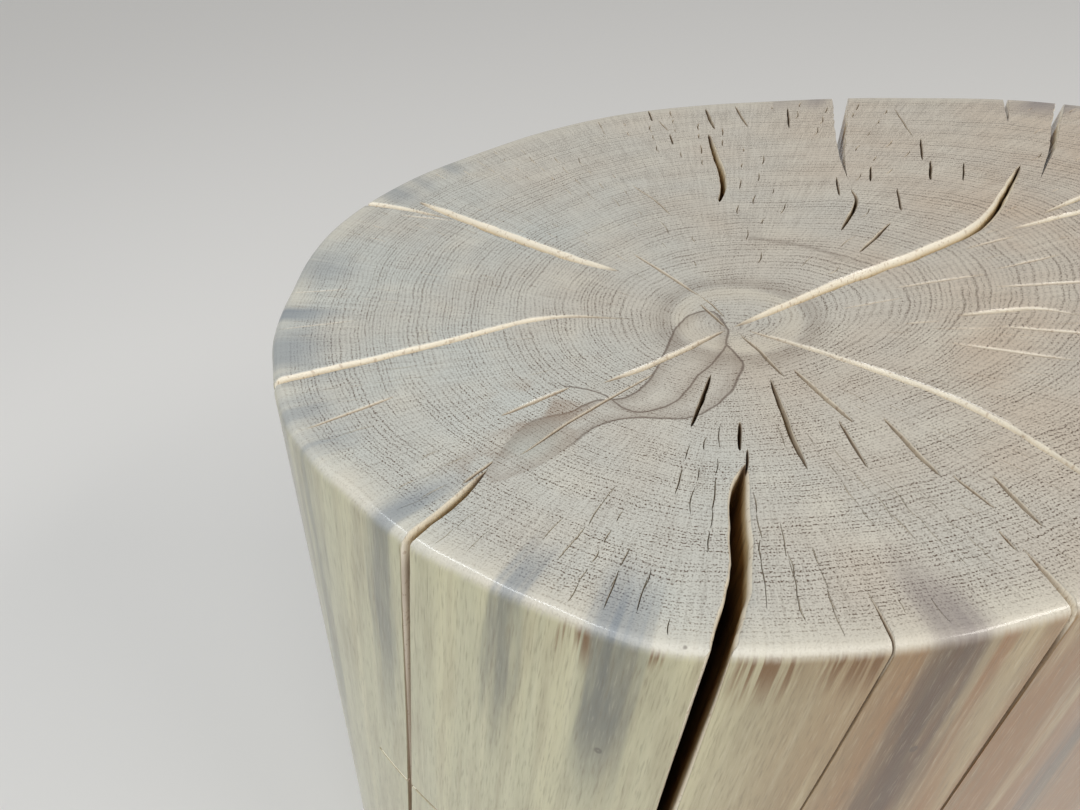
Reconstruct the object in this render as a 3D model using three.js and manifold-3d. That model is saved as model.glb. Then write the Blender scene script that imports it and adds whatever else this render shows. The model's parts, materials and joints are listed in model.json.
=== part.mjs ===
// Thick slice of a tree trunk, debarked, sanded and lacquered, used as a stool or side table.
// It grew as one piece, so it is one solid. Millimetres, +Z up, standing on its sawn foot at z = 0.
import * as THREE from 'three';
import { mergeVertices } from 'three/addons/utils/BufferGeometryUtils.js';
import Module from 'manifold-3d';

// Driving dimensions of the trunk
const HEIGHT = 400;
const RIM_ROUND = 3.5;
const LEAN_X = -0.05;
const LEAN_Y = 0.03;
const FOOT_SPREAD = 0.1;
// Distance from the pith to the outside of the top face, every 15 degrees anticlockwise from +X
const BEARING_STEP = 15;
const RIM_RADII = [
  233, 272, 297, 281, 254, 234, 223, 211, 197, 188, 177, 163,
  154, 146, 136, 131, 129, 130, 128, 128, 132, 141, 161, 191,
];

// Drying cracks that run out through the rim and on down the side.
// route: [distance from the pith, bearing in degrees] from the inner tip out to the rim
// width: opening at the rim, run: length down the side, drift: sideways slant per unit of length,
// taper: how soon the crack opens to its full width on the way out from its tip
const RIM_CRACKS = [
  {
    name: 'front', width: 6.2, run: 390, drift: 0.086, taper: 5,
    route: [[67, -96], [81, -98], [105, -98.4], [129, -100.6]],
  },
  {
    name: 'back', width: 9, run: 300, drift: 0, taper: 1.2,
    route: [[137, 58], [169, 62], [243, 66]],
  },
  {
    name: 'back_right', width: 5, run: 200, drift: -0.15, taper: 1.5,
    route: [[184, 35], [221, 39], [252, 42], [282, 44]],
  },
  {
    name: 'back_nick', width: 3, run: 40, drift: 0, taper: 1.5,
    route: [[239, 46], [274, 49]],
  },
  {
    name: 'left', width: 3.6, run: 70, drift: 0.1, taper: 2,
    route: [[31, 163], [62, 168], [96, 180], [151, 187]],
  },
  {
    name: 'left_back_edge', width: 4.5, run: 60, drift: 0.1, taper: 2,
    route: [[138, 136], [165, 138], [189, 140]],
  },
  {
    name: 'front_left', width: 3, run: 330, drift: 0.11, taper: 2,
    route: [[100, -140], [115, -138], [132, -137]],
  },
  {
    name: 'front_right', width: 2.8, run: 300, drift: 0.11, taper: 2,
    route: [[112, -63], [121, -64], [130, -65]],
  },
  {
    name: 'front_hairline', width: 1.3, run: 180, drift: 0.13, taper: 2,
    route: [[111, -84], [120, -84], [128, -84]],
  },
  {
    name: 'right', width: 3, run: 160, drift: 0.1, taper: 2,
    route: [[104, -15], [150, -10], [206, -8]],
  },
];

// Drying cracks that stay on the top face, pointed at both ends
const FACE_CRACKS = [
  {
    name: 'long_right_back', width: 5.8, depth: 32,
    route: [[3, 25], [48, 31], [98, 30], [135, 32], [192, 39]],
  },
  { name: 'long_right', route: [[6, -11], [37, -32], [79, -38], [124, -47]], width: 3.4, depth: 24 },
  { name: 'left_back', route: [[54, 127], [76, 132], [111, 134], [165, 135]], width: 6, depth: 30 },
  { name: 'pith_front_left', route: [[2, -146], [31, -146], [51, -148]], width: 2.3, depth: 14 },
  { name: 'flame', route: [[35, -139], [65, -140], [91, -139]], width: 1.6, depth: 10 },
  { name: 'flame_side', route: [[60, -152], [85, -151]], width: 2.1, depth: 12 },
  { name: 'front_short', route: [[27, -111], [54, -111]], width: 1.7, depth: 14 },
  { name: 'front_dot', route: [[49, -96], [62, -97]], width: 1.5, depth: 10 },
  { name: 'pith_front', route: [[5, -48], [16, -61], [31, -67]], width: 1.8, depth: 10 },
  { name: 'front_right_inner', route: [[29, -57], [58, -63]], width: 2.3, depth: 13 },
  { name: 'front_right_bent', route: [[30, -75], [57, -82], [71, -83]], width: 2.1, depth: 14 },
  { name: 'front_right_thin', route: [[55, -66], [75, -71]], width: 1.5, depth: 9 },
  { name: 'front_right_mid', route: [[61, -55], [86, -61]], width: 2.2, depth: 14 },
  { name: 'front_right_far', route: [[93, -54], [111, -58]], width: 2, depth: 13 },
  { name: 'front_right_line', route: [[87, -59], [101, -60]], width: 1.4, depth: 9 },
  { name: 'back_long', route: [[100, 82], [126, 81], [181, 83]], width: 3.8, depth: 26 },
  { name: 'back_edge', route: [[188, 82], [219, 83]], width: 2.3, depth: 14 },
  { name: 'back_hook', route: [[87, 50], [115, 53], [127, 56]], width: 2.3, depth: 13 },
  { name: 'back_inner', route: [[75, 40], [105, 43]], width: 1.9, depth: 11 },
  { name: 'back_far', route: [[153, 46], [174, 49]], width: 1.7, depth: 12 },
  { name: 'right_one', route: [[75, 1], [101, 2], [114, -1]], width: 2.8, depth: 16 },
  { name: 'right_two', route: [[86, -4], [118, -7]], width: 2.2, depth: 14 },
  { name: 'right_three', route: [[69, -12], [104, -15]], width: 2.2, depth: 14 },
  { name: 'right_four', route: [[97, 11], [138, 8]], width: 2, depth: 12 },
  { name: 'right_five', route: [[134, 27], [190, 25]], width: 3.2, depth: 18 },
  { name: 'right_six', route: [[155, 28], [215, 29]], width: 3.2, depth: 18 },
  { name: 'left_short', route: [[111, -165], [139, -162]], width: 1.9, depth: 10 },
];

// Shape of a crack and how finely the solid follows it
const OUTLINE_POINTS = 120;
const ROUND_STEPS = 3;
const SIDE_STEPS = 5;
const CRACK_LEVELS = 3;
const STATION_LENGTH = 18;
const FEWEST_STATIONS = 3;
const THINNEST = 0.06;
const INNER_TIP_SHARE = 0.12;
const FACE_TIP_SHARE = 0.3;
const CLEAR_ABOVE = 2;
const CLEAR_OUTSIDE = 10;

function planPoint([radius, bearing]) {
  const angle = THREE.MathUtils.degToRad(bearing);
  return new THREE.Vector3(radius * Math.cos(angle), radius * Math.sin(angle), 0);
}

// The trunk before it leans: its outline raised to full height, with both sawn rims rounded
function trunkGeometry() {
  const corners = RIM_RADII.map((radius, index) => planPoint([radius, index * BEARING_STEP]));
  const outline = new THREE.CatmullRomCurve3(corners, true, 'catmullrom');
  const points = outline.getSpacedPoints(OUTLINE_POINTS);
  points.pop();
  const trunk = new THREE.ExtrudeGeometry(new THREE.Shape(points), {
    depth: HEIGHT - 2 * RIM_ROUND,
    steps: SIDE_STEPS,
    bevelEnabled: true,
    bevelThickness: RIM_ROUND,
    bevelSize: RIM_ROUND,
    bevelOffset: -RIM_ROUND,
    bevelSegments: ROUND_STEPS,
  });
  trunk.translate(0, 0, RIM_ROUND);
  return trunk;
}

// The open space of one crack: a blade along its route that closes to a line at its floor
function crackGeometry(crack) {
  const opensAtRim = crack.run !== undefined;
  const stops = crack.route.map(planPoint);
  if (opensAtRim) {
    const last = stops[stops.length - 1];
    stops.push(last.clone().setLength(last.length() + CLEAR_OUTSIDE));
  }
  const route = new THREE.CatmullRomCurve3(stops);
  const length = route.getLength();
  const stations = Math.max(FEWEST_STATIONS, Math.round(length / STATION_LENGTH));
  const deepest = opensAtRim ? crack.run : crack.depth;
  const drift = opensAtRim ? crack.drift : 0;
  const blade = new THREE.BoxGeometry(1, 1, 1, 1, CRACK_LEVELS, stations);
  const position = blade.getAttribute('position');
  for (let i = 0; i < position.count; i += 1) {
    const across = position.getX(i);
    const below = 0.5 - position.getY(i);
    const along = position.getZ(i) + 0.5;
    const spindle = Math.sqrt(4 * along * (1 - along));
    const opening = opensAtRim ? 1 - (1 - along) ** crack.taper : spindle;
    const floor = opensAtRim
      ? THREE.MathUtils.lerp(INNER_TIP_SHARE, 1, along)
      : THREE.MathUtils.lerp(FACE_TIP_SHARE, 1, spindle);
    const drop = below * (deepest * floor + CLEAR_ABOVE);
    const gap = Math.max(THINNEST, crack.width * opening * (1 - below));
    const tangent = route.getTangentAt(along);
    const sideways = across * gap - drift * drop;
    const place = route.getPointAt(along);
    position.setXYZ(
      i,
      place.x - tangent.y * sideways,
      place.y + tangent.x * sideways,
      HEIGHT + CLEAR_ABOVE - drop,
    );
  }
  return blade;
}

// Cutting the cracks out of the trunk
const wasm = await Module();
wasm.setup();

function solidOf(geometry) {
  geometry.deleteAttribute('normal');
  geometry.deleteAttribute('uv');
  const welded = mergeVertices(geometry, 1e-4);
  return new wasm.Manifold(new wasm.Mesh({
    numProp: 3,
    vertProperties: new Float32Array(welded.getAttribute('position').array),
    triVerts: new Uint32Array(welded.getIndex().array),
  }));
}

let trunk = solidOf(trunkGeometry());
for (const crack of [...RIM_CRACKS, ...FACE_CRACKS]) {
  trunk = trunk.subtract(solidOf(crackGeometry(crack)));
}

// The log leans and spreads a little towards its foot; then it is centred over the origin
const cut = trunk.getMesh();
const slice = new THREE.BufferGeometry();
slice.setAttribute('position', new THREE.BufferAttribute(new Float32Array(cut.vertProperties), 3));
slice.setIndex(new THREE.BufferAttribute(new Uint32Array(cut.triVerts), 1));
const surface = slice.getAttribute('position');
for (let i = 0; i < surface.count; i += 1) {
  const below = HEIGHT - surface.getZ(i);
  const spread = 1 + FOOT_SPREAD * below / HEIGHT;
  surface.setX(i, surface.getX(i) * spread + LEAN_X * below);
  surface.setY(i, surface.getY(i) * spread + LEAN_Y * below);
}
slice.computeBoundingBox();
const middle = slice.boundingBox.getCenter(new THREE.Vector3());
slice.translate(-middle.x, -middle.y, -slice.boundingBox.min.z);
slice.computeVertexNormals();

const wood = new THREE.MeshStandardMaterial({ color: 0xc3b9a4, roughness: 0.4, metalness: 0 });
const piece = new THREE.Mesh(slice, wood);
piece.name = 'wood_slice';

const group = new THREE.Group();
group.add(piece);

export default group;
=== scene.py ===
import json
import math

import bpy
import numpy as np
from mathutils import Matrix, Vector

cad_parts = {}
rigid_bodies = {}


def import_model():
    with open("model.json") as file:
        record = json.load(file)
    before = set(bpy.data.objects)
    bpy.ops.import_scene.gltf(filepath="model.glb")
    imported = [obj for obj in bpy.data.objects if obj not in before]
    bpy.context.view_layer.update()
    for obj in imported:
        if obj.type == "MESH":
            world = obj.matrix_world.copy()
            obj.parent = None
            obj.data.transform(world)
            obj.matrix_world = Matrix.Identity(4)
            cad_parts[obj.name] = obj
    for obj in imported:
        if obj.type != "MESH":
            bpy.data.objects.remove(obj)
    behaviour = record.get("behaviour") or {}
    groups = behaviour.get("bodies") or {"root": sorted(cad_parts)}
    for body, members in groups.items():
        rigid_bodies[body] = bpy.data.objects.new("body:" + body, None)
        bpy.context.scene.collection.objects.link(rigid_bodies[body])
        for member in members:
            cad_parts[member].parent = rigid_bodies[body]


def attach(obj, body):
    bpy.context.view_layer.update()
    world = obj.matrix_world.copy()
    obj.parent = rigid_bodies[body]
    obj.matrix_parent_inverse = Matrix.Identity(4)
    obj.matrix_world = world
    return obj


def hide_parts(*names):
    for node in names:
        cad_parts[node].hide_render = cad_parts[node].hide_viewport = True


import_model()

scene = bpy.context.scene
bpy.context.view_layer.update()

# The log
# A length of tree trunk sawn across at both ends, debarked, sanded smooth and lacquered.
# It is first built upright, in millimetres, with the pith on the Z axis and the top face at HEIGHT.
MM = 0.001
HEIGHT = 400.0
RIM_ROUND = 3.5
LEAN = np.array([-0.05, 0.03])
FOOT_SPREAD = 0.1
# Distance from the pith to the outside, at equal bearings anticlockwise from +X
RIM_RADII = [
    233, 272, 297, 281, 254, 234, 223, 211, 197, 188, 177, 163,
    154, 146, 136, 131, 129, 130, 128, 128, 132, 141, 161, 191,
]
# Shallow hollows that debarking leaves: lobes round the trunk, depth, twist from top to foot
SIDE_WAVES = [(5, 0.35, 1.9), (9, 0.3, -1.2), (14, 0.2, 2.8), (23, 0.12, 4.0), (37, 0.06, -3.4)]
WAVE_SEED = 7
RIM_STEPS = 40
SIDES = 288
INNER_RINGS = 44
OUTER_RINGS = 12
INNER_SHARE = 0.62
SIDE_ROWS = 30
ROUND_STEPS = 6
FOOT_RINGS = 6
FULL_TURN = 2 * math.pi


def plan_point(radius, bearing):
    angle = math.radians(bearing)
    return np.array([radius * math.cos(angle), radius * math.sin(angle)])


def smooth_path(stops, steps, closed=False):
    """Points of a Catmull-Rom curve through the stops."""
    stops = np.asarray(stops, float)
    if closed:
        padded = np.vstack([stops[-1:], stops, stops[:2]])
    else:
        padded = np.vstack([2 * stops[0] - stops[1], stops, 2 * stops[-1] - stops[-2]])
    share = (np.arange(steps) / steps)[:, None]
    pieces = []
    for before, start, end, after in zip(padded, padded[1:], padded[2:], padded[3:]):
        leave = (end - before) / 2
        arrive = (after - start) / 2
        rise = share * share * (3 - 2 * share)
        pieces.append(
            start + (end - start) * rise
            + leave * (share - 2 * share**2 + share**3)
            + arrive * (share**3 - share**2)
        )
    if not closed:
        pieces.append(stops[-1:])
    return np.vstack(pieces)


rim_stops = [plan_point(radius, 360 * i / len(RIM_RADII)) for i, radius in enumerate(RIM_RADII)]
rim_line = smooth_path(rim_stops, RIM_STEPS, closed=True)
rim_bearings = np.arctan2(rim_line[:, 1], rim_line[:, 0]) % FULL_TURN
rim_order = np.argsort(rim_bearings)
rim_bearings = rim_bearings[rim_order]
rim_lengths = np.hypot(*rim_line.T)[rim_order]
wave_starts = np.random.default_rng(WAVE_SEED).uniform(0, FULL_TURN, len(SIDE_WAVES))


def outside_radius(angle, height):
    angle = np.asarray(angle)
    radius = np.interp(angle % FULL_TURN, rim_bearings, rim_lengths, period=FULL_TURN)
    for (lobes, depth, twist), start in zip(SIDE_WAVES, wave_starts):
        radius = radius + depth * np.cos(lobes * angle + start + twist * height / HEIGHT)
    return radius


# Rows of the outside from the pith over the rim and down to the foot: share of the radius that is
# flat, or else distance in from the side, and height
inner_shares = np.linspace(0, INNER_SHARE, INNER_RINGS + 1)[1:]
outer_shares = np.linspace(INNER_SHARE, 1, OUTER_RINGS + 1)[1:]
rows = [(share, None, HEIGHT) for share in np.append(inner_shares, outer_shares)]
for step in range(1, ROUND_STEPS + 1):
    turn = math.pi / 2 * step / ROUND_STEPS
    rows.append((None, RIM_ROUND * (1 - math.sin(turn)), HEIGHT - RIM_ROUND * (1 - math.cos(turn))))
for height in np.linspace(HEIGHT - RIM_ROUND, RIM_ROUND, SIDE_ROWS + 1)[1:]:
    rows.append((None, 0.0, height))
for step in range(1, ROUND_STEPS + 1):
    turn = math.pi / 2 * step / ROUND_STEPS
    rows.append((None, RIM_ROUND * (1 - math.cos(turn)), RIM_ROUND * (1 - math.sin(turn))))
rows += [(share, None, 0.0) for share in np.linspace(1, 0, FOOT_RINGS + 1)[1:-1]]

angles = np.arange(SIDES) * FULL_TURN / SIDES
log_points = [np.array([[0.0, 0.0, HEIGHT]])]
for share, inset, height in rows:
    radii = outside_radius(angles, height)
    reach = (radii - RIM_ROUND) * share if inset is None else radii - inset
    log_points.append(np.column_stack([
        reach * np.cos(angles), reach * np.sin(angles), np.full(SIDES, height),
    ]))
log_points.append(np.array([[0.0, 0.0, 0.0]]))
log_points = np.vstack(log_points)
log_faces = []
last_ring = 1 + (len(rows) - 1) * SIDES
for i in range(SIDES):
    j = (i + 1) % SIDES
    log_faces.append((0, 1 + i, 1 + j))
    log_faces.append((len(log_points) - 1, last_ring + j, last_ring + i))
    for row in range(len(rows) - 1):
        upper = 1 + row * SIDES
        lower = upper + SIDES
        log_faces.append((upper + i, lower + i, lower + j, upper + j))
wood = bpy.data.materials.new("lacquered_wood")
log_mesh = bpy.data.meshes.new("wood_slice_log")
log_mesh.from_pydata(log_points.tolist(), [], log_faces)
log_mesh.materials.append(wood)
log_mesh.attributes.new("opening", "FLOAT", "POINT")
log = bpy.data.objects.new("wood_slice_log", log_mesh)
scene.collection.objects.link(log)


# Drying cracks
# The wood shrinks more round the rings than across them, so the log splits along its rays while it
# dries. Wide cracks open through the rim and run down the side; the others stay on the top face.
# Routes are [distance from the pith, bearing in degrees] from the inner tip outwards.
RIM_CRACKS = [
    # route, opening, length down the side, slant with the grain, taper, share of it in the lips
    ([[67, -96], [81, -98], [105, -98.4], [129, -100.6]], 6.2, 390, 0.086, 12.0, 0.3),
    ([[137, 58], [169, 62], [243, 66]], 9.0, 300, 0.0, 1.2, 0.12),
    ([[184, 35], [221, 39], [252, 42], [282, 44]], 5.0, 200, -0.15, 1.5, 0.3),
    ([[239, 46], [274, 49]], 3.0, 40, 0.0, 1.5, 0.3),
    ([[31, 163], [62, 168], [96, 180], [151, 187]], 4.4, 70, 0.1, 4.0, 0.65),
    ([[138, 136], [165, 138], [189, 140]], 4.5, 60, 0.1, 2.0, 0.6),
    ([[100, -140], [115, -138], [132, -137]], 3.8, 330, 0.11, 4.0, 0.4),
    ([[112, -63], [121, -64], [130, -65]], 2.8, 300, 0.11, 2.0, 0.4),
    ([[111, -84], [120, -84], [128, -84]], 1.3, 180, 0.13, 2.0, 0.4),
    ([[104, -15], [150, -10], [206, -8]], 3.0, 160, 0.1, 2.0, 0.4),
]
FACE_CRACKS = [
    # route, opening, depth, share of the opening in the lips
    ([[2, 24], [48, 31], [98, 30], [135, 32], [192, 39]], 5.8, 32, 0.7),
    ([[6, -11], [37, -32], [79, -38], [124, -47]], 3.4, 24, 0.6),
    ([[54, 127], [76, 132], [111, 134], [165, 135]], 6.0, 30, 0.7),
    ([[1, -150], [31, -146], [51, -148]], 2.8, 14, 0.5),
    ([[35, -139], [65, -140], [91, -139]], 1.6, 10, 0.5),
    ([[60, -152], [85, -151]], 2.1, 12, 0.4),
    ([[27, -111], [54, -111]], 1.7, 14, 0.25),
    ([[49, -96], [62, -97]], 1.5, 10, 0.25),
    ([[5, -48], [16, -61], [31, -67]], 1.8, 10, 0.3),
    ([[29, -57], [58, -63]], 2.3, 13, 0.3),
    ([[30, -75], [57, -82], [71, -83]], 2.1, 14, 0.25),
    ([[55, -66], [75, -71]], 1.5, 9, 0.3),
    ([[61, -55], [86, -61]], 2.2, 14, 0.3),
    ([[93, -54], [111, -58]], 2.0, 13, 0.3),
    ([[87, -59], [101, -60]], 1.4, 9, 0.3),
    ([[100, 82], [126, 81], [181, 83]], 3.8, 26, 0.25),
    ([[188, 82], [219, 83]], 2.3, 14, 0.25),
    ([[87, 50], [115, 53], [127, 56]], 2.3, 13, 0.35),
    ([[75, 40], [105, 43]], 1.9, 11, 0.4),
    ([[153, 46], [174, 49]], 1.7, 12, 0.35),
    ([[75, 1], [101, 2], [114, -1]], 2.8, 16, 0.5),
    ([[86, -4], [118, -7]], 2.2, 14, 0.5),
    ([[69, -12], [104, -15]], 2.2, 14, 0.5),
    ([[97, 11], [138, 8]], 2.0, 12, 0.5),
    ([[134, 27], [190, 25]], 3.2, 18, 0.5),
    ([[155, 28], [215, 29]], 3.2, 18, 0.5),
    ([[111, -165], [139, -162]], 1.9, 10, 0.5),
]
FINE_CRACKS = [
    # route, opening, depth, share of the opening in the lips: too thin to matter to the solid
    ([[1, 108], [18, 111]], 1.6, 7, 0.3),
    ([[22, 104], [44, 112], [63, 115]], 1.9, 7, 0.4),
    ([[7, 88], [16, 99], [23, 105]], 1.0, 5, 0.3),
    ([[61, -95], [70, -96]], 1.1, 6, 0.3),
    ([[97, -141], [109, -140]], 1.5, 6, 0.4),
    ([[106, -63], [113, -64]], 1.1, 6, 0.3),
    ([[203, 91], [220, 91]], 1.5, 6, 0.3),
    ([[187, 89], [203, 90]], 1.2, 6, 0.3),
    ([[168, 89], [183, 89]], 1.2, 6, 0.3),
    ([[191, 77], [223, 79]], 1.9, 9, 0.3),
    ([[192, 71], [222, 72]], 1.4, 7, 0.3),
    ([[89, 95], [106, 97], [125, 100]], 1.3, 6, 0.4),
    ([[118, 57], [137, 60]], 1.3, 6, 0.3),
    ([[138, 54], [155, 56]], 1.3, 6, 0.3),
    ([[117, 44], [137, 49]], 1.4, 7, 0.3),
    ([[172, 50], [198, 53]], 1.4, 7, 0.3),
    ([[198, 54], [235, 59]], 1.0, 5, 0.3),
    ([[160, 42], [180, 45]], 1.0, 5, 0.3),
    ([[57, -2], [69, -1]], 1.1, 5, 0.5),
    ([[65, -5], [84, -5]], 1.0, 5, 0.5),
    ([[65, 19], [86, 17], [100, 16]], 1.5, 6, 0.5),
    ([[105, 17], [133, 17]], 1.5, 6, 0.5),
    ([[41, 13], [64, 13]], 1.0, 5, 0.5),
    ([[107, 26], [130, 25]], 1.5, 7, 0.5),
    ([[138, 163], [163, 166]], 0.9, 4, 0.5),
    ([[127, 172], [157, 175]], 0.9, 4, 0.5),
    ([[136, 136], [162, 140]], 1.4, 6, 0.5),
]
# Hairline checks all over the top face, clear of the middle, the flame-shaped stain and the wider cracks
HAIRLINES = 460
HAIRLINE_SEED = 21
HAIRLINE_LENGTHS = (4.0, 13.0)
HAIRLINE_OPENINGS = (0.28, 0.55)
HAIRLINE_DEPTH = 1.4
HAIRLINE_LIPS = 0.3
HAIRLINE_BEND = 0.06
HAIRLINE_CLEAR = 34.0
HAIRLINE_GAP = 3.0
FLAME_CLEAR = 100.0
FLAME_BEARINGS = (-162, -122)
# Shares of a turn and of the way out by which each hairline is set on from the last, and the power that
# gathers them towards the rim
HAIRLINE_STEPS = (0.7549, 0.5698)
HAIRLINE_OUTWARD = 0.6
# Hairlines open further towards the back, by this share of the distance behind the pith
HAIRLINE_BACK_SHARE = 0.0022
# Scratch across the grain, part way round the side: bearing and distance below the top face
SCRATCH = [(-151, 137), (-142, 139), (-137, 138.5), (-133, 142), (-127, 146)]
SCRATCH_RADIUS = 1.0
SCRATCH_START_SHARE = 0.25
SCRATCH_SIDES = 8
# Kept on the scratch as if it were a crack this wide, so that it stays pale:
# the painted shade of narrow cracks passes it by
SCRATCH_OPENING = 5.0
CLEAR_ABOVE = 1.5
CLEAR_OUTSIDE = 10.0
INNER_TIP_SHARE = 0.12
FACE_TIP_SHARE = 0.3
SPINDLE_POWER = 0.45
LIP_POWER = 2.2
LIP_STEEPNESS = 0.9
LEAST_LIP = 0.15
THINNEST = 0.03
ROUTE_STEPS = 16
LEVEL_CROWDING = 3
# How a crack's line sways and its opening swells on the way, and how both change with depth
SWAY_SCALE = 0.09
SWAY_PER_DEPTH = 0.08
SWELL_SCALE = 0.14
SWELL_PER_DEPTH = 0.1
SWELL_LEAST = 0.72
SWELL_SHARE = 0.56
WANDER_LEAST = 0.6
WANDER_PER_WIDTH = 0.1
WANDER_MOST = 1.1
TIP_CALM = 4
# Stations along and levels down each kind of crack, and where its run of noise starts
RIM_CRACK_MESH = (40, 18, 0.0)
FACE_CRACK_MESH = (20, 12, 500.0)
WIDE_FACE_STATIONS = 40
WIDE_FACE_CRACK = 3
FINE_CRACK_MESH = (14, 8, 900.0)
HAIRLINE_MESH = (9, 4, 2000.0)
NOISE_STEP = 10.0


class Value:
    """A node socket that can be used in Python sums; each operation adds its Math node."""

    def __init__(self, tree, socket):
        self.tree = tree
        self.socket = socket

    def node(self, kind, settings, inputs, output=0):
        """Adds a node: its settings first, then its socket values or links."""
        made = self.tree.nodes.new(kind)
        for name, setting in settings.items():
            setattr(made, name, setting)
        for key, value in inputs.items():
            if isinstance(value, Value):
                self.tree.links.new(value.socket, made.inputs[key])
            else:
                made.inputs[key].default_value = value
        return Value(self.tree, made.outputs[output])

    def other(self, output):
        """Another output of the node that this value comes from."""
        return Value(self.tree, self.socket.node.outputs[output])

    def maths(self, operation, *terms):
        return self.node("ShaderNodeMath", {"operation": operation}, dict(enumerate(terms)))

    def __add__(self, other):
        return self.maths("ADD", self, other)

    def __radd__(self, other):
        return self.maths("ADD", other, self)

    def __sub__(self, other):
        return self.maths("SUBTRACT", self, other)

    def __rsub__(self, other):
        return self.maths("SUBTRACT", other, self)

    def __mul__(self, other):
        return self.maths("MULTIPLY", self, other)

    def __rmul__(self, other):
        return self.maths("MULTIPLY", other, self)

    def __truediv__(self, other):
        return self.maths("DIVIDE", self, other)

    def __rtruediv__(self, other):
        return self.maths("DIVIDE", other, self)

    def __pow__(self, other):
        return self.maths("POWER", self, other)

    def at_least(self, other):
        return self.maths("MAXIMUM", self, other)

    def at_most(self, other):
        return self.maths("MINIMUM", self, other)

    def size(self):
        return self.maths("ABSOLUTE", self)

    def rising(self, low, high):
        """0 below low, 1 above high, smooth between."""
        return self.node(
            "ShaderNodeMapRange", {"interpolation_type": "SMOOTHSTEP"},
            {"Value": self, "From Min": low, "From Max": high},
        )

    def vector(self, x, y, z):
        return self.node("ShaderNodeCombineXYZ", {}, {"X": x, "Y": y, "Z": z})

    def parts(self):
        split = self.node("ShaderNodeSeparateXYZ", {}, {0: self}, "X")
        return split, split.other("Y"), split.other("Z")


def new_tree(name, inputs):
    """An empty Geometry Nodes tree with named inputs: the tree, its input values and identifiers."""
    tree = bpy.data.node_groups.new(name, "GeometryNodeTree")
    identifiers = {}
    for label, kind in inputs.items():
        made = tree.interface.new_socket(label, in_out="INPUT", socket_type="NodeSocket" + kind)
        identifiers[label] = made.identifier
    tree.interface.new_socket("Space", in_out="OUTPUT", socket_type="NodeSocketGeometry")
    given = tree.nodes.new("NodeGroupInput")
    values = {socket.name: Value(tree, socket) for socket in given.outputs if socket.name}
    return tree, values, identifiers


def end_tree(space):
    """Ends a tree in plain geometry with the wood's material."""
    realized = space.node("GeometryNodeRealizeInstances", {}, {0: space})
    finished = space.node("GeometryNodeSetMaterial", {}, {"Geometry": realized, "Material": wood})
    result = space.tree.nodes.new("NodeGroupOutput")
    space.tree.links.new(finished.socket, result.inputs["Space"])


# One crack as the space to cut away: a box drawn out along the route, closing to a line at its floor,
# with rounded lips where it meets the top face and the side
crack_tree, crack, crack_inputs = new_tree("drying_crack", {
    "Route": "Geometry", "Route Length": "Float", "Rim Share": "Float", "Opens At Rim": "Float",
    "Taper": "Float", "Width": "Float", "Depth": "Float", "Slant": "Float", "Lips": "Float",
    "Wander": "Float", "Stations": "Int", "Levels": "Int", "Seed": "Float",
})
route = crack["Route"]
opens = crack["Opens At Rim"]
closed = 1 - opens
box = route.node("GeometryNodeMeshCube", {}, {
    "Vertices X": 2, "Vertices Y": crack["Levels"], "Vertices Z": crack["Stations"],
}, "Mesh")
across, upward, onward = route.node("GeometryNodeInputPosition", {}, {}).parts()
below = 0.5 - upward
onward = onward + 0.5
# Stations crowd towards the rim, and the last one stands outside it
rim_station = 1 - 1 / (crack["Stations"] - 1)
from_rim = 1 - (onward / rim_station).at_most(1)
outside = ((onward - rim_station) / (1 - rim_station)).at_least(0)
share_inside = opens * (1 - from_rim * from_rim) + closed * onward
along = share_inside * crack["Rim Share"] + outside * (1 - crack["Rim Share"]) * opens
# Levels crowd towards the top face, and the first one stands above it
top_level = 1 / (crack["Levels"] - 1)
sunk = ((below - top_level) / (1 - top_level)).at_least(0) ** LEVEL_CROWDING
above = (1 - below / top_level).at_least(0)
spindle = (4 * share_inside * (1 - share_inside)).at_least(0) ** SPINDLE_POWER
opening = opens * (1 - (1 - share_inside) ** crack["Taper"]) + closed * spindle
floor_share = opens * (INNER_TIP_SHARE + (1 - INNER_TIP_SHARE) * share_inside)
floor_share = floor_share + closed * (FACE_TIP_SHARE + (1 - FACE_TIP_SHARE) * spindle)
drop = sunk * floor_share * crack["Depth"]
closing = 1 - sunk
lip_depth = crack["Width"] * crack["Lips"] * LIP_STEEPNESS + LEAST_LIP
to_rim = (1 - share_inside) * crack["Route Length"]
top_lip = (1 - drop / lip_depth).at_least(0) ** LIP_POWER
side_lip = (1 - to_rim / lip_depth).at_least(0) ** LIP_POWER * closing * opens
travelled = along * crack["Route Length"]
sway = route.node("ShaderNodeTexNoise", {"noise_dimensions": "2D"}, {
    "Vector": route.vector(travelled, drop * SWAY_PER_DEPTH + crack["Seed"], 0.0),
    "Scale": SWAY_SCALE, "Detail": 3.0,
})
swell = route.node("ShaderNodeTexNoise", {"noise_dimensions": "2D"}, {
    "Vector": route.vector(travelled, drop * SWELL_PER_DEPTH - crack["Seed"], 0.0),
    "Scale": SWELL_SCALE, "Detail": 2.0,
})
full = crack["Width"] * opening * (SWELL_LEAST + SWELL_SHARE * swell)
gap = full * ((1 - crack["Lips"]) * closing + crack["Lips"] * top_lip.at_least(side_lip))
gap = gap.at_least(THINNEST)
tip_calm = (TIP_CALM * share_inside).at_most(1) * (1 - outside)
sideways = across * gap + crack["Wander"] * (sway - 0.5) * tip_calm
spot = route.node(
    "GeometryNodeSampleCurve", {"mode": "FACTOR", "data_type": "FLOAT"},
    {"Curves": route, "Factor": along}, "Position",
)
heading_x, heading_y = spot.other("Tangent").parts()[:2]
height = HEIGHT + CLEAR_ABOVE * above - drop
shift = route.vector(0 - heading_y * sideways, heading_x * sideways, height)
moved = route.node("ShaderNodeVectorMath", {"operation": "ADD"}, {0: spot, 1: shift})
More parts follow.
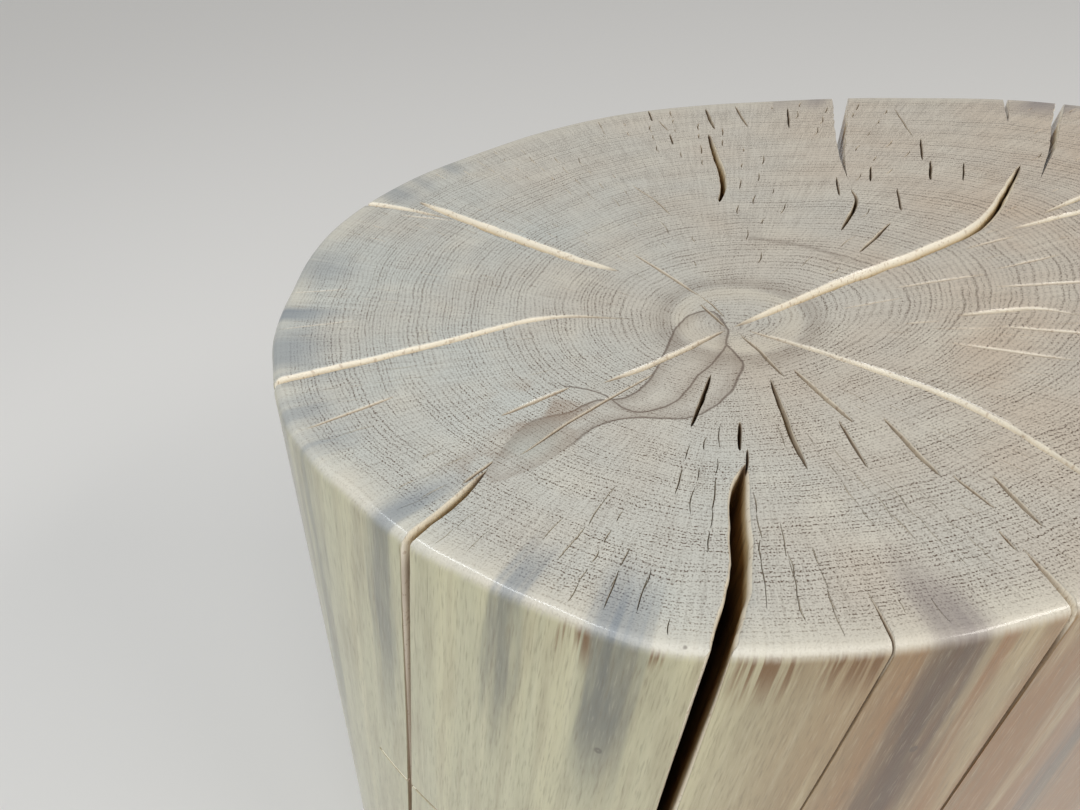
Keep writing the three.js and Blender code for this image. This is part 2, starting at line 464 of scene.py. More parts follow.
rim_distance = route.node("ShaderNodeVectorMath", {"operation": "LENGTH"}, {0: spot}, "Value").at_least(1)
turned = route.node("ShaderNodeVectorRotate", {"rotation_type": "Z_AXIS"}, {
    "Vector": moved, "Angle": 0 - crack["Slant"] * drop / rim_distance,
})
marked = route.node(
    "GeometryNodeStoreNamedAttribute", {"data_type": "FLOAT", "domain": "POINT"},
    {"Geometry": box, "Name": "opening", "Value": full},
)
end_tree(route.node("GeometryNodeSetPosition", {}, {"Geometry": marked, "Position": turned}))

# The scratch as a thin round bar drawn along its line
scratch_tree, scratch, scratch_inputs = new_tree("scratch", {"Route": "Geometry", "Radius": "Float"})
profile = scratch["Route"].node("GeometryNodeCurvePrimitiveCircle", {"mode": "RADIUS"}, {
    "Resolution": SCRATCH_SIDES, "Radius": scratch["Radius"],
})
bar = profile.node("GeometryNodeCurveToMesh", {}, {
    "Curve": scratch["Route"], "Profile Curve": profile, "Fill Caps": True,
})
end_tree(bar.node(
    "GeometryNodeStoreNamedAttribute", {"data_type": "FLOAT", "domain": "POINT"},
    {"Geometry": bar, "Name": "opening", "Value": SCRATCH_OPENING},
))

cutters = bpy.data.collections.new("cutters")
scene.collection.children.link(cutters)
wide_lines = []


def cutter(name, points, thicknesses, tree, settings):
    """The space that a tree makes along a line of points, as an object to cut with."""
    curve = bpy.data.curves.new(name, "CURVE")
    curve.dimensions = "3D"
    spline = curve.splines.new("POLY")
    spline.points.add(len(points) - 1)
    for point, place, thickness in zip(spline.points, points, thicknesses):
        point.co = (*place, 1)
        point.radius = thickness
    line = bpy.data.objects.new(name, curve)
    scene.collection.objects.link(line)
    modifier = line.modifiers.new("space", "NODES")
    modifier.node_group = tree
    for identifier, value in settings.items():
        modifier[identifier] = value
    graph = bpy.context.evaluated_depsgraph_get()
    mesh = bpy.data.meshes.new_from_object(line.evaluated_get(graph))
    bpy.data.objects.remove(line)
    cutters.objects.link(bpy.data.objects.new(name, mesh))


def cut_crack(name, route, width, depth, lips, crack_mesh, order, slant=0.0, taper=None):
    """Adds the space of one crack, one with a taper opens through the rim; returns its line."""
    stations, levels, first_seed = crack_mesh
    stops = [plan_point(*stop) for stop in route]
    opens_at_rim = taper is not None
    if opens_at_rim:
        angle = math.radians(route[-1][1])
        stops[-1] *= outside_radius(angle, HEIGHT) / np.linalg.norm(stops[-1])
    line = smooth_path(stops, ROUTE_STEPS)
    inside = np.hypot(*np.diff(line, axis=0).T).sum()
    length = inside
    if opens_at_rim:
        line = np.vstack([line, line[-1] * (1 + CLEAR_OUTSIDE / np.linalg.norm(line[-1]))])
        length = inside + CLEAR_OUTSIDE
    points = np.column_stack([line, np.zeros(len(line))])
    settings = {
        "Route Length": inside, "Rim Share": inside / length, "Opens At Rim": float(opens_at_rim),
        "Taper": taper or 1.0, "Width": width, "Depth": float(depth), "Slant": slant, "Lips": lips,
        "Wander": min(WANDER_MOST, WANDER_LEAST + WANDER_PER_WIDTH * width),
        "Stations": stations, "Levels": levels, "Seed": first_seed + NOISE_STEP * order,
    }
    settings = {crack_inputs[label]: value for label, value in settings.items()}
    cutter(name, points, np.ones(len(points)), crack_tree, settings)
    return line


for i, (route, width, run, slant, taper, lips) in enumerate(RIM_CRACKS):
    line = cut_crack(f"rim_crack_{i}", route, width, run, lips, RIM_CRACK_MESH, i, slant, taper)
    wide_lines.append(line)
for i, (route, width, depth, lips) in enumerate(FACE_CRACKS):
    stations, levels, first_seed = FACE_CRACK_MESH
    if width > WIDE_FACE_CRACK:
        stations = WIDE_FACE_STATIONS
    line = cut_crack(f"face_crack_{i}", route, width, depth, lips, (stations, levels, first_seed), i)
    wide_lines.append(line)
for i, (route, width, depth, lips) in enumerate(FINE_CRACKS):
    wide_lines.append(cut_crack(f"fine_crack_{i}", route, width, depth, lips, FINE_CRACK_MESH, i))
wide_points = np.vstack(wide_lines)
draw = np.random.default_rng(HAIRLINE_SEED)
for i in range(HAIRLINES):
    bearing = 360 * (i * HAIRLINE_STEPS[0] % 1) - 180
    reach = outside_radius(math.radians(bearing), HEIGHT) - RIM_ROUND
    length = draw.uniform(*HAIRLINE_LENGTHS)
    outward = (i * HAIRLINE_STEPS[1] % 1) ** HAIRLINE_OUTWARD
    inner = HAIRLINE_CLEAR + (reach - length - HAIRLINE_CLEAR) * outward
    bends = draw.uniform(-1, 1, 2) * math.degrees(HAIRLINE_BEND * length / inner)
    width = draw.uniform(*HAIRLINE_OPENINGS)
    route = [[inner, bearing], [inner + length / 2, bearing + bends[0]], [inner + length, bearing + bends[1]]]
    stops = np.array([plan_point(*stop) for stop in route])
    gaps = np.linalg.norm(stops[:, None] - wide_points, axis=2)
    in_flame_way = FLAME_BEARINGS[0] < bearing < FLAME_BEARINGS[1] and inner < FLAME_CLEAR
    if in_flame_way or gaps.min() < HAIRLINE_GAP:
        continue
    width += HAIRLINE_BACK_SHARE * max(0.0, stops[1, 1])
    cut_crack(f"hairline_{i}", route, width, HAIRLINE_DEPTH, HAIRLINE_LIPS, HAIRLINE_MESH, i)

scratch_stops = []
for bearing, below_top in SCRATCH:
    radius = outside_radius(math.radians(bearing), HEIGHT - below_top)
    scratch_stops.append([*plan_point(radius, bearing), HEIGHT - below_top])
scratch_line = smooth_path(scratch_stops, ROUTE_STEPS)
scratch_thickness = np.linspace(SCRATCH_START_SHARE, 1.0, len(scratch_line))
cutter("scratch", scratch_line, scratch_thickness, scratch_tree, {scratch_inputs["Radius"]: SCRATCH_RADIUS})

cutting = log.modifiers.new("cracks", "BOOLEAN")
cutting.operation = "DIFFERENCE"
cutting.operand_type = "COLLECTION"
cutting.collection = cutters
cutting.solver = "MANIFOLD"
graph = bpy.context.evaluated_depsgraph_get()
slice_mesh = bpy.data.meshes.new_from_object(log.evaluated_get(graph))
slice_mesh.name = "wood_slice_fine"
for space in list(cutters.objects):
    bpy.data.objects.remove(space)
bpy.data.collections.remove(cutters)
bpy.data.objects.remove(log)

# The finished slice
# The upright log leans and spreads towards its foot, then stands centred over the origin.
# The sawn faces are shaded flat; the rim, the side and the crack walls are smooth up to sharp edges.
FLAT_LIMIT = 0.9995
SHARP_ANGLE = 40
upright = np.empty(len(slice_mesh.vertices) * 3)
slice_mesh.vertices.foreach_get("co", upright)
upright = upright.reshape(-1, 3)
below_top = HEIGHT - upright[:, 2:]
standing = upright.copy()
standing[:, :2] = upright[:, :2] * (1 + FOOT_SPREAD * below_top / HEIGHT) + LEAN * below_top
middle = (standing[:, :2].min(axis=0) + standing[:, :2].max(axis=0)) / 2
standing[:, :2] -= middle
slice_mesh.vertices.foreach_set("co", (standing * MM).ravel())

# What the finish follows: the place in the upright log, and the grain there as the share of the
# radius, nearness to the side against the end, and depth under the sanded surface
plan_radius = np.hypot(upright[:, 0], upright[:, 1])
bearings = np.arctan2(upright[:, 1], upright[:, 0])
log_radius = outside_radius(bearings, upright[:, 2])
from_bark = log_radius - plan_radius
from_end = np.minimum(upright[:, 2], HEIGHT - upright[:, 2])
corner = RIM_ROUND - np.hypot(RIM_ROUND - from_bark, RIM_ROUND - from_end)
in_corner = (from_bark < RIM_ROUND) & (from_end < RIM_ROUND)
inset = np.where(in_corner, corner, np.minimum(from_bark, from_end))


def keep_on_mesh(name, columns):
    made = slice_mesh.attributes.new(name, "FLOAT_VECTOR", "POINT")
    made.data.foreach_set("vector", np.column_stack(columns).ravel())


keep_on_mesh("log", [upright])
keep_on_mesh("grain", [plan_radius / log_radius, from_bark - from_end, inset])

normals = np.empty(len(slice_mesh.polygons) * 3)
slice_mesh.polygons.foreach_get("normal", normals)
rounded = np.abs(normals.reshape(-1, 3)[:, 2]) < FLAT_LIMIT
slice_mesh.polygons.foreach_set("use_smooth", rounded)
slice_mesh.set_sharp_from_angle(angle=math.radians(SHARP_ANGLE))
slice_mesh.update()
piece = bpy.data.objects.new("wood_slice_fine", slice_mesh)
scene.collection.objects.link(piece)

# Figure round the pith: a flame-shaped stain that runs out to the front left between thin brown lines.
# Plan points in millimetres from the pith.
FLAME_LEFT = [
    (0, 0), (-2, 10), (-6, 12), (-12, 9), (-17, 2), (-20, -6), (-23, -14), (-27, -23), (-31, -30),
    (-37, -35), (-46, -36), (-54, -41), (-64, -44), (-71, -52), (-78, -66),
]
FLAME_RIGHT = [
    (-2, -9), (0, -15), (1, -21), (-2, -28), (-5, -34), (-11, -41), (-20, -46), (-36, -45), (-46, -48),
    (-54, -56), (-64, -65), (-76, -71),
]
FLAME_MIDDLE = [
    (-2, -9), (-8, -19), (-14, -26), (-18, -33), (-23, -39), (-30, -42), (-37, -41), (-42, -34),
    (-48, -30), (-54, -28),
]
LINE_STEPS = 6
FIGURE_REACH = 40.0
# Light reaches further into a crack from the side than from the top
SIDE_LIGHT_SHARE = 0.8


def line_offset(points, line):
    """Distance from each point to a line of points, up to FIGURE_REACH; below zero on its right."""
    nearest = np.full(len(points), FIGURE_REACH)
    for start, end in zip(line, line[1:]):
        stretch = end - start
        offset = points - start
        share = np.clip(offset @ stretch / (stretch @ stretch), 0, 1)
        distance = np.hypot(*(offset - share[:, None] * stretch).T)
        side = np.where(stretch[0] * offset[:, 1] < stretch[1] * offset[:, 0], -1, 1)
        nearest = np.where(distance < np.abs(nearest), distance * side, nearest)
    return nearest


def inside_loop(points, loop):
    """True where a point lies inside a closed loop."""
    inside = np.zeros(len(points), bool)
    for (x0, y0), (x1, y1) in zip(loop, np.roll(loop, -1, axis=0)):
        if y0 != y1:
            meet = x0 + (points[:, 1] - y0) * (x1 - x0) / (y1 - y0)
            crosses = (y0 > points[:, 1]) != (y1 > points[:, 1])
            inside ^= crosses & (points[:, 0] < meet)
    return inside


flame_loop = np.vstack([smooth_path(FLAME_LEFT, LINE_STEPS), smooth_path(FLAME_RIGHT, LINE_STEPS)[::-1]])
plan = upright[:, :2]
flame = np.abs(line_offset(plan, np.vstack([flame_loop, flame_loop[:1]])))
flame *= np.where(inside_loop(plan, flame_loop), 1, -1)
vein = line_offset(plan, smooth_path(FLAME_MIDDLE, LINE_STEPS))
# The third column is the depth that sets the painted shade inside the cracks.
keep_on_mesh("figure_and_shade_depth", [flame, vein, np.minimum(from_end, SIDE_LIGHT_SHARE * from_bark)])

# Lacquered wood
# End grain with rings, pores and rays on the sawn faces; straight fibre, slightly slanted, with
# blue-grey stain bands down the side; cream to dark brown inside the cracks, the darkening with depth
# painted shade; clear lacquer on all.
wood.use_nodes = True
wood_tree = wood.node_tree
shader = wood_tree.nodes["Principled BSDF"]
start = Value(wood_tree, shader.outputs[0])


def paint(red, green, blue):
    """Screen colour, 0 to 255, as the linear colour a shader takes."""
    linear = [((c / 255 + 0.055) / 1.055) ** 2.4 for c in (red, green, blue)]
    return (*linear, 1.0)


def attribute(name, output):
    return start.node("ShaderNodeAttribute", {"attribute_name": name}, {}, output)


def noise(place, scale=1.0, detail=1.0):
    return start.node("ShaderNodeTexNoise", {}, {"Vector": place, "Scale": scale, "Detail": detail}, "Fac")


def mixed(share, first, second):
    return start.node("ShaderNodeMix", {"data_type": "RGBA"}, {0: share, 6: first, 7: second}, 2)


GRAIN_SLANT = 0.1
MEAN_RADIUS = 150.0
# Keeps the distance from the pith, and its share of the radius, above zero
NEVER_ZERO = 0.01
LEAST_SHARE = 0.001
log_x, log_y, log_z = attribute("log", "Vector").parts()
ring_share, bark_less_end, inset_depth = attribute("grain", "Vector").parts()
flame_in, vein_off, wall_depth = attribute("figure_and_shade_depth", "Vector").parts()
crack_opening = attribute("opening", "Fac")
pith_distance = (log_x * log_x + log_y * log_y + NEVER_ZERO) ** 0.5
from_bark_mm = pith_distance / ring_share.at_least(LEAST_SHARE) - pith_distance
below_top_mm = HEIGHT - log_z
bearing_angle = start.maths("ARCTAN2", log_y, log_x)
grain_angle = bearing_angle + below_top_mm * (GRAIN_SLANT / MEAN_RADIUS)
grain_x = start.maths("COSINE", grain_angle)
grain_y = start.maths("SINE", grain_angle)
top_plane = start.vector(log_x, log_y, 0.0)


def along_grain(waves, stretch, shift=0.0):
    """A place round the trunk and along its fibre, for noise with so many waves per radian."""
    return start.vector(grain_x * waves + shift, grain_y * waves, log_z * stretch)


def plan_distance(x, y):
    """Distance in plan from a point, in millimetres."""
    aside_x = log_x - x
    aside_y = log_y - y
    return (aside_x * aside_x + aside_y * aside_y) ** 0.5


# End grain: rings and rows of fine dark pores, crossed by paler and darker rays
RINGS = 58
ROWS_PER_RING = 2
# How the rings stray from an even spacing: drift as a share of the radius, bends and jitter in rings
RING_DRIFT = 0.05
DRIFT_WAVES = 9
RING_BEND = 1.2
RING_JITTER = 0.22
# Sizes in millimetres of slow changes in tone, of pale patches, and of the rings' bends and jitter
TONE_SIZE = 55
PALE_PATCH_SIZE = 22
BEND_SIZE = 26
JITTER_SIZE = 4
PORES_PER_MM = 2.0
COARSE_PORES_PER_MM = 0.8
RAY_WAVES = 170
RAY_CHANGE = 0.05
# In millimetres: the tone warms over a span from left to right, and pales between two distances behind
# the pith as painted light on the back of the top face; the pores fade between two distances from the bark
WARM_SPAN = 330.0
BACK_LIGHT_FADE = (60, 220)
PORE_FADE = (2, 9)
slow_patch = noise(top_plane, 1 / TONE_SIZE, 2)
ring_drift = (noise(start.vector(ring_share * DRIFT_WAVES, 0.0, 0.0), 1.0, 1) - 0.5) * RING_DRIFT
ring_sway = (noise(top_plane, 1 / BEND_SIZE, 1) - 0.5) * RING_BEND
ring_sway = ring_sway + (noise(top_plane, 1 / JITTER_SIZE, 0) - 0.5) * RING_JITTER
ring_count = (ring_share + ring_drift) * RINGS + ring_sway
ring_phase = start.maths("FRACT", ring_count)
ring_line = ring_phase.rising(0.7, 0.88) * (1 - ring_phase.rising(0.92, 1.0))
row_phase = start.maths("FRACT", ring_count * ROWS_PER_RING)
row_line = row_phase.rising(0.2, 0.6) * (1 - row_phase.rising(0.7, 1.0))
ring_strength = noise(start.vector(ring_count * 0.45, grain_x * 3, grain_y * 3), 1.0, 1).rising(0.3, 0.7)
pore = noise(top_plane, PORES_PER_MM, 0).rising(0.48, 0.68)
coarse_pore = noise(top_plane, COARSE_PORES_PER_MM, 1).rising(0.55, 0.72)
ray_place = start.vector(grain_x * RAY_WAVES, grain_y * RAY_WAVES, pith_distance * RAY_CHANGE)
ray = noise(ray_place, 1.0, 1) - 0.5

end_warmth = (log_x / WARM_SPAN + 0.4 + (slow_patch - 0.5) * 1.2).at_least(0).at_most(1)
end_colour = mixed(end_warmth, paint(202, 204, 197), paint(205, 188, 167))
pale_patch = noise(top_plane, 1 / PALE_PATCH_SIZE, 2).rising(0.45, 0.75)
end_colour = mixed(pale_patch * 0.4, end_colour, paint(222, 216, 200))
# Paler towards the back of the top face: painted light.
end_colour = mixed(log_y.rising(*BACK_LIGHT_FADE) * 0.35, end_colour, paint(228, 218, 200))
in_flame = flame_in.rising(-0.4, 0.6)
plainness = 1 - (0.2 * in_flame).at_least(0.6 * (1 - from_bark_mm.rising(*PORE_FADE)))
pore_dark = pore * (0.2 + 0.46 * row_line) * (0.6 + 0.8 * ring_strength)
end_dark = ring_line * (0.12 + 0.4 * ring_strength) * (0.4 + 0.6 * pore) + pore_dark
end_dark = (end_dark + row_line * 0.06 + coarse_pore * 0.22) * plainness + ray * 0.55
end_colour = mixed(end_dark.at_least(0).at_most(1), end_colour, paint(92, 74, 58))

# Pale disc round the pith, the flame-shaped stain and its lines; places and sizes in millimetres.
# Pairs are the distances between which a tone rises or fades.
DISC_CENTRE = (4, 5.5)
DISC_SWAY = 7
DISC_PALE = (8, 19)
DISC_EDGE = (19, 23)
DISC_SHADE_STARTS = (20, 24)
DISC_SHADE_ENDS = (24, 34)
BLUE_CENTRE = (-66, -50)
BLUE_EDGE = (6, 17)
LINE_SWAY = 1.4
LINE_SWAY_SIZE = 6
LINE_FADE = (62, 98)
FLAME_LINE = (0.1, 0.65)
FLAME_SHADE = (0.3, 5)
VEIN_LINE = (0.1, 0.55)
VEIN_SHADE = (0.3, 4)
# A thin dark arc behind the pith: bearing and half length in radians; brown blotches with their reach
ARC_RADIUS = 68
ARC_SWAY = 8
ARC_LINE = (0.4, 2.2)
ARC_BEARING = math.radians(58)
ARC_HALF = (0.2, 0.45)
BROWN_BLOTCHES = [((-62, -40), 24), ((-78, -66), 15)]
disc = plan_distance(*DISC_CENTRE) + (slow_patch - 0.5) * DISC_SWAY
in_disc = 1 - disc.rising(*DISC_EDGE)
end_colour = mixed(disc.rising(*DISC_PALE) * in_disc * 0.4, end_colour, paint(216, 206, 186))
disc_shade = disc.rising(*DISC_SHADE_STARTS) * (1 - disc.rising(*DISC_SHADE_ENDS))
end_colour = mixed(disc_shade * 0.28, end_colour, paint(112, 92, 74))
blue_patch = 1 - plan_distance(*BLUE_CENTRE).rising(*BLUE_EDGE)
flame_colour = mixed(blue_patch, paint(176, 162, 146), paint(172, 180, 174))
end_colour = mixed(in_flame * (0.08 + 0.35 * blue_patch), end_colour, flame_colour)
figure_sway = (noise(top_plane, 1 / LINE_SWAY_SIZE, 2) - 0.5) * LINE_SWAY
flame_edge = (flame_in + figure_sway).size()
vein_edge = (vein_off + figure_sway).size()
figure_fade = 1 - pith_distance.rising(*LINE_FADE)
figure_line = (1 - flame_edge.rising(*FLAME_LINE)).at_least(1 - vein_edge.rising(*VEIN_LINE))
end_colour = mixed(figure_line * figure_fade * 0.68, end_colour, paint(80, 58, 42))
figure_shade = (1 - flame_edge.rising(*FLAME_SHADE)).at_least((1 - vein_edge.rising(*VEIN_SHADE)) * 0.8)
end_colour = mixed(figure_shade * in_flame * 0.26, end_colour, paint(112, 90, 72))
arc = 1 - (pith_distance - ARC_RADIUS + (slow_patch - 0.5) * ARC_SWAY).size().rising(*ARC_LINE)
arc = arc * (1 - (bearing_angle - ARC_BEARING).size().rising(*ARC_HALF))
end_colour = mixed(arc * 0.3, end_colour, paint(104, 88, 74))
for centre, reach in BROWN_BLOTCHES:
    blotch = 1 - plan_distance(*centre).rising(0.1 * reach, reach)
    end_colour = mixed(blotch * pale_patch.rising(0.0, 0.3) * 0.4, end_colour, paint(132, 100, 72))

# Side grain: straw to tan fibre, with streaks of several sizes
# Each is given by its waves round the trunk, its change along the fibre and its shift.
MOTTLE = (22, 0.02, 6.4)
BROAD_STREAK = (13, 0.004)
STREAK = (48, 0.012, 3.7)
FIBRE = (230, 0.14)
side_warmth = (grain_x + (slow_patch - 0.5) * 0.3).rising(-0.42, 0.3)
side_colour = mixed(side_warmth, paint(187, 185, 154), paint(140, 102, 60))
mottle = noise(along_grain(*MOTTLE), 1.0, 2)
broad_streak = noise(along_grain(*BROAD_STREAK), 1.0, 2)
side_colour = mixed(broad_streak.rising(0.5, 0.72) * 0.4, side_colour, paint(212, 206, 168))
side_colour = mixed((1 - mottle.rising(0.3, 0.55)) * 0.3, side_colour, paint(140, 128, 100))
streak = noise(along_grain(*STREAK), 1.0, 1)
side_colour = mixed((1 - streak.rising(0.3, 0.5)) * 0.25, side_colour, paint(140, 126, 98))
side_colour = mixed(streak.rising(0.55, 0.75) * 0.15, side_colour, paint(222, 216, 188))
fibre = noise(along_grain(*FIBRE), 1.0, 2)

# Blue-grey stain bands down the side: bearing and half width in degrees, length, strength
STAIN_BANDS = [
    (-179, 6.0, 300, 0.8), (-166, 4.0, 260, 0.7), (-158, 3.0, 260, 0.7), (-142, 2.8, 130, 0.85),
    (-123, 2.8, 90, 0.85), (-111, 3.6, 90, 1.0), (-76.5, 4.5, 300, 0.95), (-48, 4.0, 240, 0.9),
    (158, 6.0, 120, 0.6), (179, 6.0, 300, 0.8),
]
# Further stain wherever it falls, but not round the front, where the bands are placed one by one
FREE_STAIN = (5.2, 0.0035, 3.1)
FRONT = math.radians(-100)
BAND_EDGE = (30, 0.016, 8.1)
BAND_EDGE_SWAY = 0.13
band_edge = (noise(along_grain(*BAND_EDGE), 1.0, 2) - 0.5) * BAND_EDGE_SWAY
stain = noise(along_grain(*FREE_STAIN), 1.0, 2).rising(0.53, 0.66)
stain = stain * (1 - start.maths("COSINE", grain_angle - FRONT).rising(0.3, 0.5))
for bearing, half_width, reach, strength in STAIN_BANDS:
    half_angle = math.radians(half_width)
    aside = (grain_angle - math.radians(bearing) + band_edge).size()
    band = (1 - aside.rising(0.1 * half_angle, 1.3 * half_angle)) * strength
    stain = stain.at_least(band * (1 - below_top_mm.rising(0.3 * reach, reach)))
stain = stain * (0.45 + 1.1 * mottle).at_most(1)
stain_colour = mixed(side_warmth, paint(98, 101, 97), paint(72, 55, 45))
side_colour = mixed(stain * 0.88, side_colour, stain_colour)
side_colour = mixed(fibre.rising(0.48, 0.78) * 0.4, side_colour, paint(104, 90, 66))
side_colour = mixed((1 - fibre.rising(0.25, 0.45)) * 0.14, side_colour, paint(222, 215, 190))

# Ochre streaks under the rim: bearing and half width in degrees, length
OCHRE_STREAKS = [(-114.5, 2.4, 20), (-106.5, 1.2, 10), (-96, 5.0, 24), (-87, 5.0, 20), (-60, 4.0, 14)]
OCHRE_FIBRE = (105, 0.03, 5.3)
ochre_fibre = noise(along_grain(*OCHRE_FIBRE), 1.0, 1).rising(0.4, 0.58)
for bearing, half_width, reach in OCHRE_STREAKS:
    half_angle = math.radians(half_width)
    aside = (grain_angle - math.radians(bearing) + band_edge).size()
    ochre = (1 - aside.rising(0.3 * half_angle, half_angle)) * (1 - below_top_mm.rising(0.2 * reach, reach))
    side_colour = mixed(ochre * ochre_fibre * 0.9, side_colour, paint(110, 74, 26))

# The stain bands go on over the rim into the end grain; between them the outer wood is paler, partly
# its own colour and partly a painted highlight along the rounded rim.
# Distances are in millimetres from the bark.
STAIN_REACH_LEAST = 10
STAIN_REACH_SPREAD = 36
STAIN_REACH_CHANGE = (9, 0.0, 4.0)
SAPWOOD_AND_HIGHLIGHT_FADE = (1, 14)
stain_reach = STAIN_REACH_LEAST + STAIN_REACH_SPREAD * noise(along_grain(*STAIN_REACH_CHANGE), 1.0, 1)
rim_stain = stain * (1 - (from_bark_mm / stain_reach).rising(0.1, 1.0))
rim_stain_colour = mixed(side_warmth, paint(132, 140, 148), paint(146, 136, 132))
end_colour = mixed(rim_stain * 0.85, end_colour, rim_stain_colour)
# Paler towards the bark: the outer wood's own tone with a painted highlight along the rim.
sapwood_and_rim_highlight = (1 - stain) * (1 - from_bark_mm.rising(*SAPWOOD_AND_HIGHLIGHT_FADE))
end_colour = mixed(sapwood_and_rim_highlight * (0.15 + 0.6 * mottle), end_colour, paint(220, 213, 195))

# End grain turns into side grain over the rounded rim, with a fringe of fibre
RIM_FRINGE = 1.8
RIM_BLEND = (-3.9, 0.5)
end_share = (bark_less_end + (fibre - 0.5) * RIM_FRINGE).rising(*RIM_BLEND)
colour = mixed(end_share, side_colour, end_colour)

# Pin knots: bearing in degrees, distance below the middle of the rounded rim, radius of the dark ring
PIN_KNOTS = [(-109.7, 47, 0.6), (-75.7, 43, 0.6), (-104, -1.2, 0.0)]
KNOT_LINE = (0.2, 0.7)
KNOT_STRETCH = 0.8
over_rim = below_top_mm - from_bark_mm
for bearing, depth, ring_radius in PIN_KNOTS:
    aside = (grain_angle - math.radians(bearing)) * pith_distance
    downward = (over_rim - depth) * KNOT_STRETCH
    knot = (aside * aside + downward * downward) ** 0.5
    knot_ring = 1 - (knot - ring_radius).size().rising(*KNOT_LINE)
    colour = mixed(knot_ring * 0.6, colour, paint(72, 60, 50))

# Inside the cracks: cream below the lips, amber further down, dark at the floor and in narrow cracks;
# the darkening with depth and in narrow cracks is partly the wood's own tones and partly painted shade.
# Pairs are the depths, or the openings of a crack, between which a tone changes, in millimetres.
LIP_DEPTHS = (0.1, 0.45)
TAN_DEPTHS = (0.8, 4)
AMBER_DEPTHS = (3, 9)
DEEP_SHADE_DEPTHS = (10, 30)
STREAK_DEPTHS = (2, 7)
NARROW_OPENINGS = (0.7, 3.4)
NARROW_DEPTHS = (0.15, 0.9)
GROOVE_OPENINGS = (3, 5)
GROOVE_DEPTHS = (3, 14)
# Tan, amber and near black with depth: painted shade down into the crack, over the wood's own tones.
wall_colour_and_shade = mixed(wall_depth.rising(*TAN_DEPTHS), paint(238, 230, 212), paint(208, 187, 146))
wall_colour_and_shade = mixed(wall_depth.rising(*AMBER_DEPTHS), wall_colour_and_shade, paint(176, 134, 78))
wall_colour_and_shade = mixed(wall_depth.rising(*DEEP_SHADE_DEPTHS), wall_colour_and_shade, paint(40, 27, 17))
wall_speck = noise(start.vector(log_x * 0.9, log_y * 0.9, log_z * 0.5), 1.0, 1).rising(0.6, 0.7)
wall_colour_and_shade = mixed(wall_speck * 0.35, wall_colour_and_shade, paint(140, 98, 56))
wall_streak = noise(start.vector(log_x * 0.7, log_y * 0.7, log_z * 0.05), 1.0, 2).rising(0.5, 0.66)
wall_colour_and_shade = mixed(wall_streak * wall_depth.rising(*STREAK_DEPTHS) * 0.5, wall_colour_and_shade, paint(70, 44, 22))
# Narrow cracks, and cracks on the side below the top, are painted darker: painted shade.
narrow = (1 - crack_opening.rising(*NARROW_OPENINGS)) * inset_depth.rising(*NARROW_DEPTHS)
groove = (1 - crack_opening.rising(*GROOVE_OPENINGS)) * below_top_mm.rising(*GROOVE_DEPTHS)
wall_colour_and_shade = mixed(narrow.at_least(groove) * 0.78, wall_colour_and_shade, paint(118, 84, 46))
colour = mixed(inset_depth.rising(*LIP_DEPTHS), colour, wall_colour_and_shade)

# Fine relief of pores and fibre under the lacquer
RELIEF_STRENGTH = 0.3
RELIEF_HEIGHT = 0.5 * MM
relief = (pore * 0.5 + ray * 0.6) * end_share + (1 - end_share) * fibre
bump = start.node("ShaderNodeBump", {"invert": True}, {
    "Height": relief, "Strength": RELIEF_STRENGTH, "Distance": RELIEF_HEIGHT,
}, "Normal")
wood_tree.links.new(colour.socket, shader.inputs["Base Color"])
wood_tree.links.new(bump.socket, shader.inputs["Normal"])
shader.inputs["Roughness"].default_value = 0.42
shader.inputs["Coat Weight"].default_value = 0.6
shader.inputs["Coat Roughness"].default_value = 0.12

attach(piece, "root")
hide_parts("wood_slice")

# Floor, light and camera
# A plain pale floor, two soft lamps and daylight from the front.
# The camera looks from about where the photograph was taken.
FLOOR_HALF = 5.0
floor_corners = [(-1, -1), (1, -1), (1, 1), (-1, 1)]
floor_mesh = bpy.data.meshes.new("floor")
floor_mesh.from_pydata([(FLOOR_HALF * x, FLOOR_HALF * y, 0) for x, y in floor_corners], [], [(0, 1, 2, 3)])
floor = bpy.data.objects.new("floor", floor_mesh)
scene.collection.objects.link(floor)
floor_paint = bpy.data.materials.new("floor_paint")
floor_paint.use_nodes = True
floor_shader = floor_paint.node_tree.nodes["Principled BSDF"]
floor_shader.inputs["Base Color"].default_value = (0.8, 0.79, 0.77, 1)
floor_shader.inputs["Roughness"].default_value = 0.7
floor_mesh.materials.append(floor_paint)


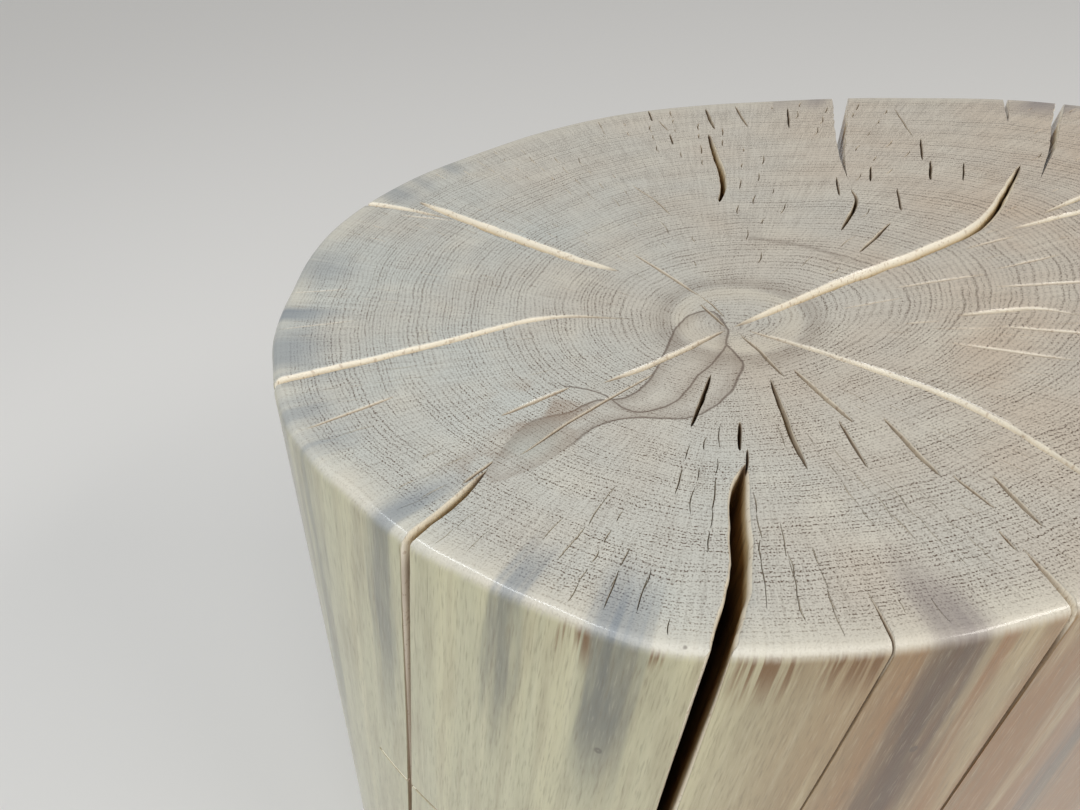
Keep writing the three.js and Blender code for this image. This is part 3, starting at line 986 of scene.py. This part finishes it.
def soft_lamp(name, position, size, power, tint):
    """A rectangular soft box that faces the top of the slice."""
    lamp = bpy.data.lights.new(name, "AREA")
    lamp.shape = "RECTANGLE"
    lamp.size, lamp.size_y = size
    lamp.energy = power
    lamp.color = tint
    stand = bpy.data.objects.new(name, lamp)
    stand.location = position
    aim = Vector((0, 0, HEIGHT * MM)) - Vector(position)
    stand.rotation_euler = aim.to_track_quat("-Z", "Y").to_euler()
    scene.collection.objects.link(stand)


soft_lamp("right_lamp", (1.65, -0.8, 1.85), (1.5, 0.45), 19, (1.0, 0.96, 0.91))
soft_lamp("left_window", (-0.88, -0.12, 1.65), (1.3, 0.16), 7, (0.9, 0.95, 1.0))
DAYLIGHT_AIM = Vector((0.15, 1.0, -0.85))
daylight = bpy.data.lights.new("daylight", "SUN")
daylight.energy = 1.55
daylight.angle = math.radians(70)
daylight.color = (1.0, 0.98, 0.95)
daylight_stand = bpy.data.objects.new("daylight", daylight)
daylight_stand.rotation_euler = DAYLIGHT_AIM.to_track_quat("-Z", "Y").to_euler()
scene.collection.objects.link(daylight_stand)
world = bpy.data.worlds.new("studio")
world.use_nodes = True
world.node_tree.nodes["Background"].inputs["Color"].default_value = (0.92, 0.94, 0.96, 1)
world.node_tree.nodes["Background"].inputs["Strength"].default_value = 0.28
scene.world = world
scene.view_settings.view_transform = "Standard"

CAMERA_FROM_PITH = np.array([-53.6, -236.5])
CAMERA_ABOVE_TOP = 153.0
CAMERA_TURN = 2.54
CAMERA_TILT = 37.42
CAMERA_ROLL = -4.18
camera_data = bpy.data.cameras.new("camera")
camera_data.lens = 28.0
camera_data.sensor_width = 36.0
camera_data.clip_start = 0.01
camera = bpy.data.objects.new("camera", camera_data)
camera_spot = np.append(CAMERA_FROM_PITH - middle, HEIGHT + CAMERA_ABOVE_TOP) * MM
camera.matrix_world = (
    Matrix.Translation(camera_spot.tolist())
    @ Matrix.Rotation(math.radians(CAMERA_TURN), 4, "Z")
    @ Matrix.Rotation(math.radians(90 - CAMERA_TILT), 4, "X")
    @ Matrix.Rotation(math.radians(CAMERA_ROLL), 4, "Z")
)
scene.collection.objects.link(camera)
scene.camera = camera
